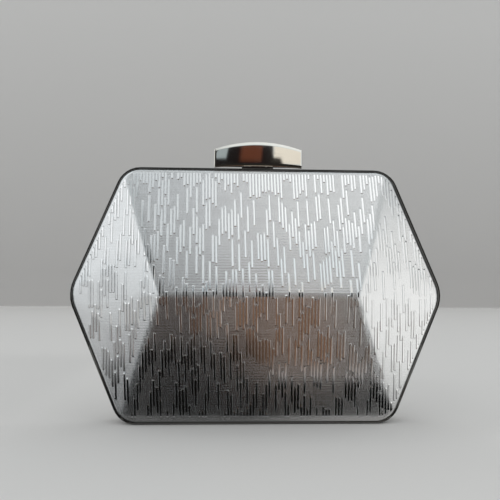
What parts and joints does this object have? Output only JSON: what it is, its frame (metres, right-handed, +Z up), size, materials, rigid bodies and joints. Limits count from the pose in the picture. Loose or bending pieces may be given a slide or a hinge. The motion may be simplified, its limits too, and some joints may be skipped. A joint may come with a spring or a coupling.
{
  "type": "box clutch",
  "caption": "Hard-case evening clutch: faceted silver halves in hinged metal frames, with an arched spring clasp on top.",
  "frame": {"origin": "middle of the clutch's bottom, in the plane it stands on and on the seam between its halves", "axes": "+X along the width to the right as seen from the front, +Y from the front cover to the back cover, +Z up to the clasp"},
  "size_m": [0.191, 0.048, 0.1456],
  "materials": {
    "cover_leather": "silver metallic coated leatherette, embossed with upright dashes over fine ribs",
    "frame_metal": "polished nickel plate",
    "clasp_metal": "mirror polished pale nickel plate",
    "hinge_steel": "plated steel, satin",
    "shell_plastic": "moulded plastic, bare",
    "lining_satin": "grey satin over card"
  },
  "bodies": {
    "back_half": {"back_frame": "frame_metal", "back_shell": "shell_plastic", "back_cover": "cover_leather", "back_lining": "lining_satin", "left_hinge_back_leaf": "hinge_steel", "right_hinge_back_leaf": "hinge_steel", "left_hinge_pin": "hinge_steel", "right_hinge_pin": "hinge_steel", "left_back_hinge_rivet_1": "hinge_steel", "left_back_hinge_rivet_2": "hinge_steel", "right_back_hinge_rivet_1": "hinge_steel", "right_back_hinge_rivet_2": "hinge_steel", "clasp_bracket": "clasp_metal", "bracket_rivet_left": "hinge_steel", "bracket_rivet_right": "hinge_steel", "clasp_pin": "hinge_steel", "clasp_spring": "hinge_steel"},
    "front_half": {"front_frame": "frame_metal", "front_shell": "shell_plastic", "front_cover": "cover_leather", "front_lining": "lining_satin", "left_hinge_front_leaf": "hinge_steel", "right_hinge_front_leaf": "hinge_steel", "left_front_hinge_rivet_1": "hinge_steel", "left_front_hinge_rivet_2": "hinge_steel", "right_front_hinge_rivet_1": "hinge_steel", "right_front_hinge_rivet_2": "hinge_steel", "catch_plate": "clasp_metal", "catch_rivet_left": "hinge_steel", "catch_rivet_right": "hinge_steel"},
    "clasp": {"clasp_bar": "clasp_metal"}
  },
  "joints": [
    {"name": "main_hinge", "type": "hinge", "parent": "back_half", "child": "front_half", "pos_m": [0, 0, 0.0015], "axis": [1, 0, 0], "range_deg": [0, 75]},
    {"name": "clasp_lift", "type": "hinge", "parent": "back_half", "child": "clasp", "pos_m": [0, 0.0022, 0.1342], "axis": [-1, 0, 0], "range_deg": [0, 35], "stiffness_Nm_per_rad": 0.012, "springref_deg": -34.38, "deforming": ["clasp_spring"]}
  ]
}
